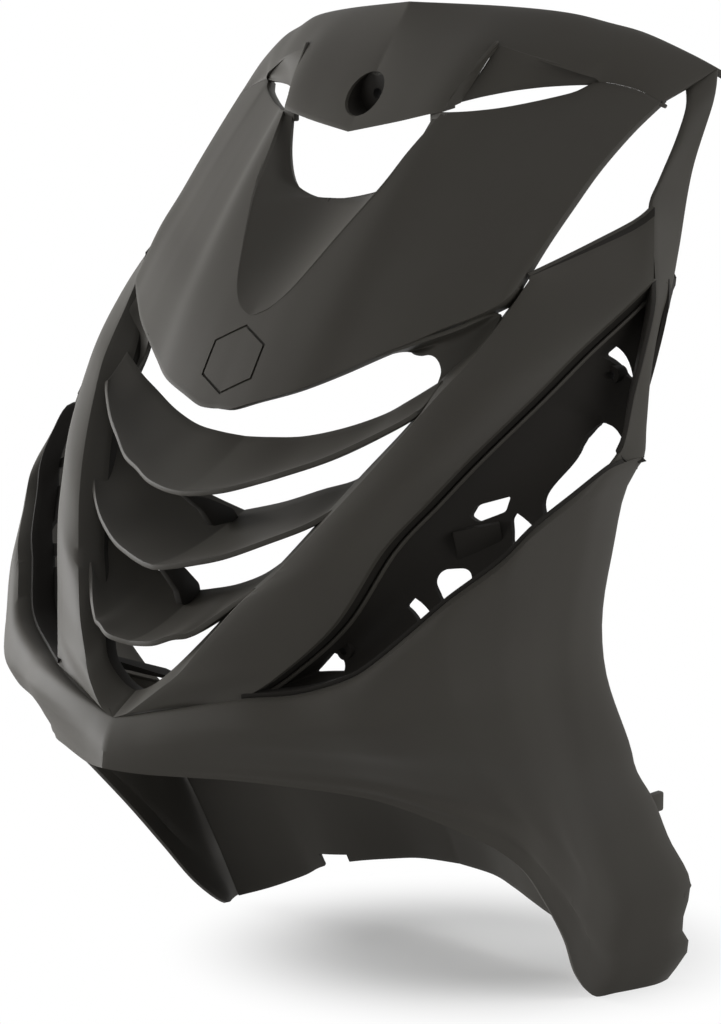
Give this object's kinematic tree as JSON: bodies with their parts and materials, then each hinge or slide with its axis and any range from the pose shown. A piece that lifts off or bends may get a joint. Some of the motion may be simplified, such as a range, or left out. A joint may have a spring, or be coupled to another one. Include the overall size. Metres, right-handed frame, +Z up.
{
  "type": "scooter front panel",
  "caption": "Moulded scooter front panel with a scooped hood, curved louvre slats, side air intakes and leg ends round a wheel arch.",
  "frame": {"origin": "on the middle plane, in the bore of the centre screw in the top band, halfway through the pocket's floor", "axes": "+Z up along the scooter's height, the panel's front faces -Y, +X towards the left-hand wing as its rider sits"},
  "size_m": [0.4212, 0.337, 0.584],
  "materials": {
    "black_plastic": "fine grained matt moulding"
  },
  "bodies": {
    "root": {"front_panel": "black_plastic"}
  },
  "joints": []
}
